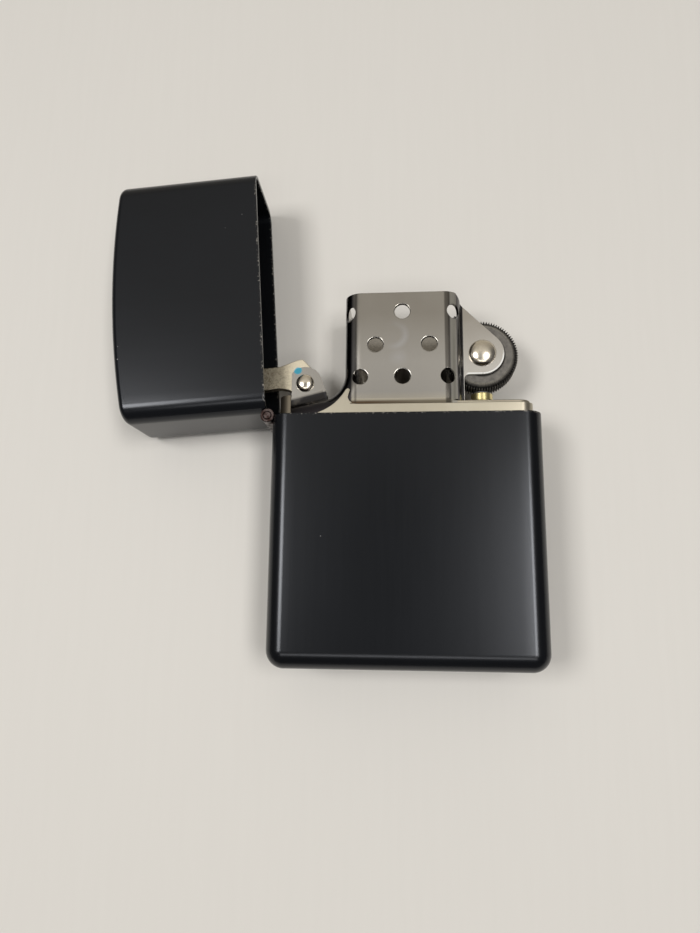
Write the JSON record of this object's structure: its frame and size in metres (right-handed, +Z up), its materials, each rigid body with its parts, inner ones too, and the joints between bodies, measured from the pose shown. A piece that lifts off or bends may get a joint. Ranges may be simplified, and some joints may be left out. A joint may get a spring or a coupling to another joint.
{
  "type": "flip-top pocket lighter",
  "caption": "Rectangular windproof pocket lighter with a black case, its domed lid open on a side hinge, a vented chimney, a cam and a serrated striker wheel.",
  "frame": {"origin": "centre of the case's flat base, with the lighter standing upright", "axes": "+Z up along the case's height, -Y out of the front face, the lid hinged on the -X side; at rest the lid is open 94.15 degrees"},
  "size_m": [0.0631, 0.013, 0.0735],
  "materials": {
    "black_lacquer": "satin black lacquer over brass, faint vertical brushing",
    "black_lacquer_lid": "satin black lacquer, bright specks where the rim is worn",
    "hinge_chrome": "dark polished chrome",
    "satin_steel": "satin steel with a warm tint",
    "brushed_steel": "bright steel with fine grain and a pale heat mark",
    "mottled_steel": "tumbled, stained steel",
    "nickel": "polished domes",
    "spring_steel": "bright spring strip and wire",
    "wheel_steel": "dark hardened steel with a serrated rim",
    "brass": "drawn, polished",
    "ferrocerium": "dull dark grey rod",
    "wick_cotton": "braided cotton cord, charred at the top",
    "rayon": "soft fibre packing",
    "felt": "pressed felt"
  },
  "bodies": {
    "case": {"case_bottom": "black_lacquer", "hinge_lower_leaf": "hinge_chrome", "hinge_pin": "hinge_chrome", "insert_case": "satin_steel", "chimney": "brushed_steel", "cam_rivet": "nickel", "cam_spring": "spring_steel", "cam_spring_rivet": "nickel", "wheel_rivet": "nickel", "flint_tube": "brass", "flint_tube_collar": "brass", "flint_spring": "spring_steel", "wick": "wick_cotton", "wad_1": "rayon", "wad_2": "rayon", "wad_3": "rayon", "wad_4": "rayon", "wad_5": "rayon", "felt_pad": "felt"},
    "lid": {"lid": "black_lacquer_lid", "hinge_upper_leaf": "hinge_chrome"},
    "cam": {"cam": "mottled_steel"},
    "striker_wheel": {"striker_wheel": "wheel_steel"},
    "flint": {"flint": "ferrocerium", "flint_plunger": "brass"},
    "flint_screw": {"flint_screw": "brass"}
  },
  "joints": [
    {"name": "lid_hinge", "type": "hinge", "parent": "case", "child": "lid", "pos_m": [-0.01961, 0, 0.03495], "axis": [0, 1, 0], "range_deg": [0, 94.15]},
    {"name": "cam_pivot", "type": "hinge", "parent": "case", "child": "cam", "pos_m": [-0.01488, 0, 0.04095], "axis": [0, 1, 0], "range_deg": [0, 70]},
    {"name": "wheel_spin", "type": "hinge", "parent": "case", "child": "striker_wheel", "pos_m": [0.01135, 0, 0.04475], "axis": [0, 1, 0], "continuous": true},
    {"name": "flint_feed", "type": "slide", "parent": "case", "child": "flint", "axis": [0, 0, 1], "range_m": [-0.002, 0], "stiffness_N_per_m": 150, "springref_m": 0.004, "deforming": ["flint_spring"]},
    {"name": "flint_screw_turn", "type": "hinge", "parent": "case", "child": "flint_screw", "pos_m": [0.01135, 0, 0], "axis": [0, 0, 1], "continuous": true}
  ],
  "couplings": [
    {"joint": "cam_pivot", "follows": "lid_hinge", "ratio": 0.74}
  ]
}
